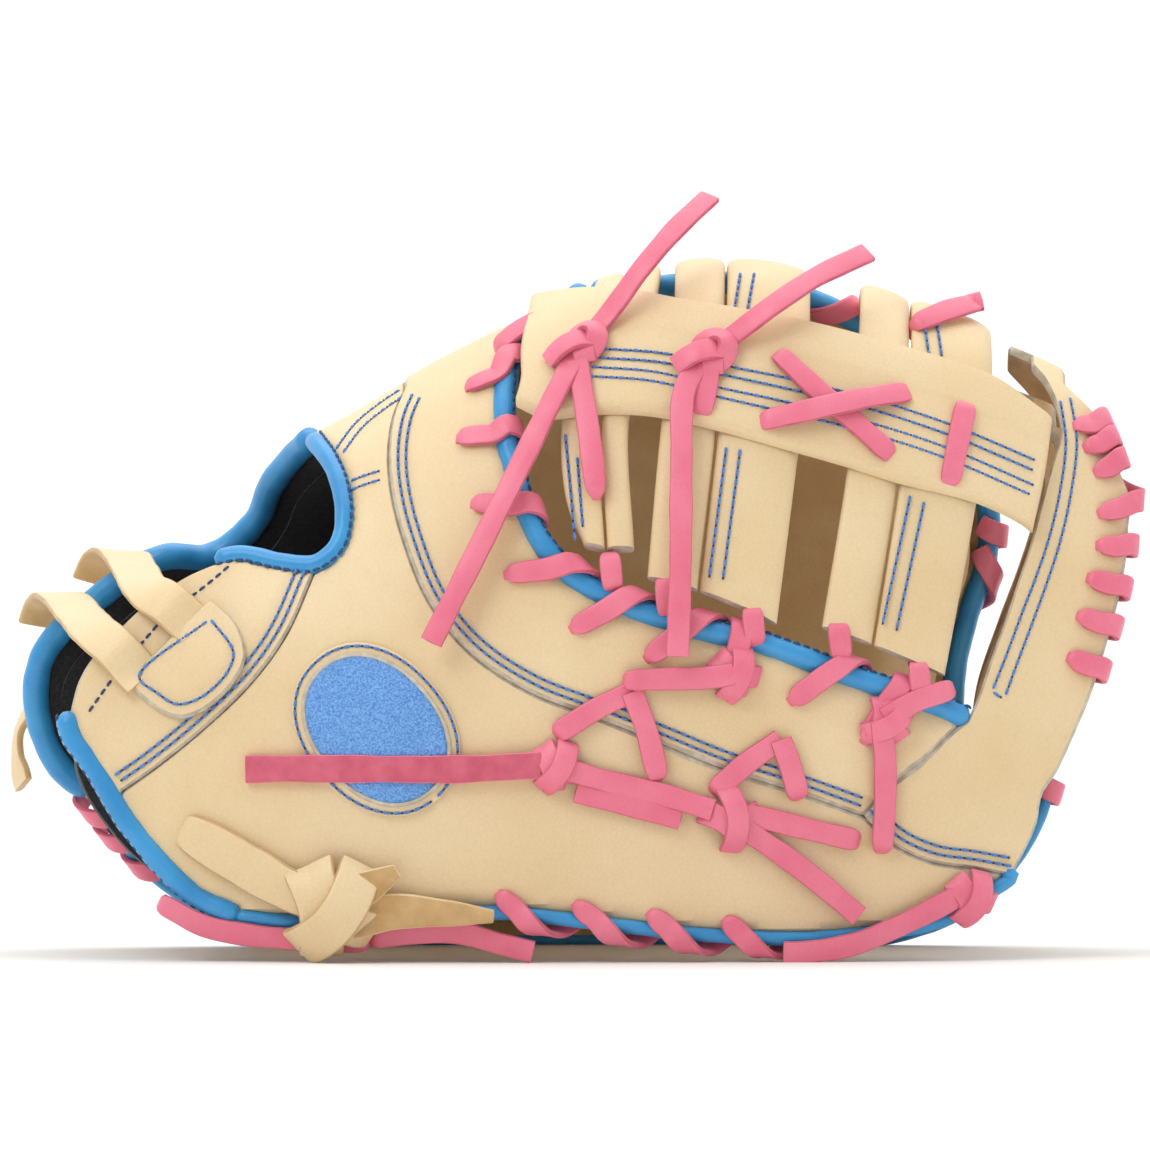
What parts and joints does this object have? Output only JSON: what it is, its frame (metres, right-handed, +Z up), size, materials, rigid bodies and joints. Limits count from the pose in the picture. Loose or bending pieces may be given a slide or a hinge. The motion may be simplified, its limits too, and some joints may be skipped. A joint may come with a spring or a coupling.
{
  "type": "first base mitt",
  "caption": "Leather first base mitt for softball, lying on its open pocket, with a barred web, rolled edges, a pull strap and tied laces.",
  "frame": {"origin": "on the resting surface, under the middle of the mitt's box", "axes": "+X from the wrist to the tip of the web, -Y the thumb side, +Z up"},
  "size_m": [0.3338, 0.157, 0.2247],
  "materials": {
    "hide": "pale tan cowhide, smooth, satin",
    "roll": "blue rolled edge leather, satin",
    "lace": "pink rawhide lace, grain side smooth, flesh side rough",
    "lining": "black brushed lining",
    "thread": "blue satin-stitch thread"
  },
  "bodies": {
    "root": {"wrist_roll": "roll", "finger_hole_roll": "roll", "heel_roll": "roll", "thumb_rim_roll": "roll", "finger_rim_roll": "roll", "thumb_edge_roll": "roll", "finger_edge_roll": "roll", "thumb_back": "hide", "wrist_panel": "hide", "web_side_panel": "hide", "finger_back": "hide", "tip_band": "hide", "web_bar_1": "hide", "web_bar_2": "hide", "web_bar_3": "hide", "web_post": "hide", "pull_tab": "hide", "pull_strap_1": "hide", "pull_strap_2": "hide", "little_finger_tie": "hide", "thumb_tie": "hide", "oval_patch": "hide", "hand_lining": "lining", "thumb_rim_lace": "lace", "finger_rim_lace": "lace", "edge_lace": "lace", "tip_lace": "lace", "post_tie_1": "lace", "post_tie_2": "lace", "cross_lace_1": "lace", "cross_lace_2": "lace", "straight_lace": "lace", "top_tail": "lace", "side_tie": "lace", "chevron_lace_1": "lace", "chevron_lace_2": "lace", "bottom_lace_1": "lace", "bottom_lace_2": "lace", "tip_tie": "lace", "rim_tie": "lace", "band_tie": "lace", "embroidered_field": "thread", "palm_thumb": "hide", "palm_finger": "hide"}
  },
  "joints": []
}
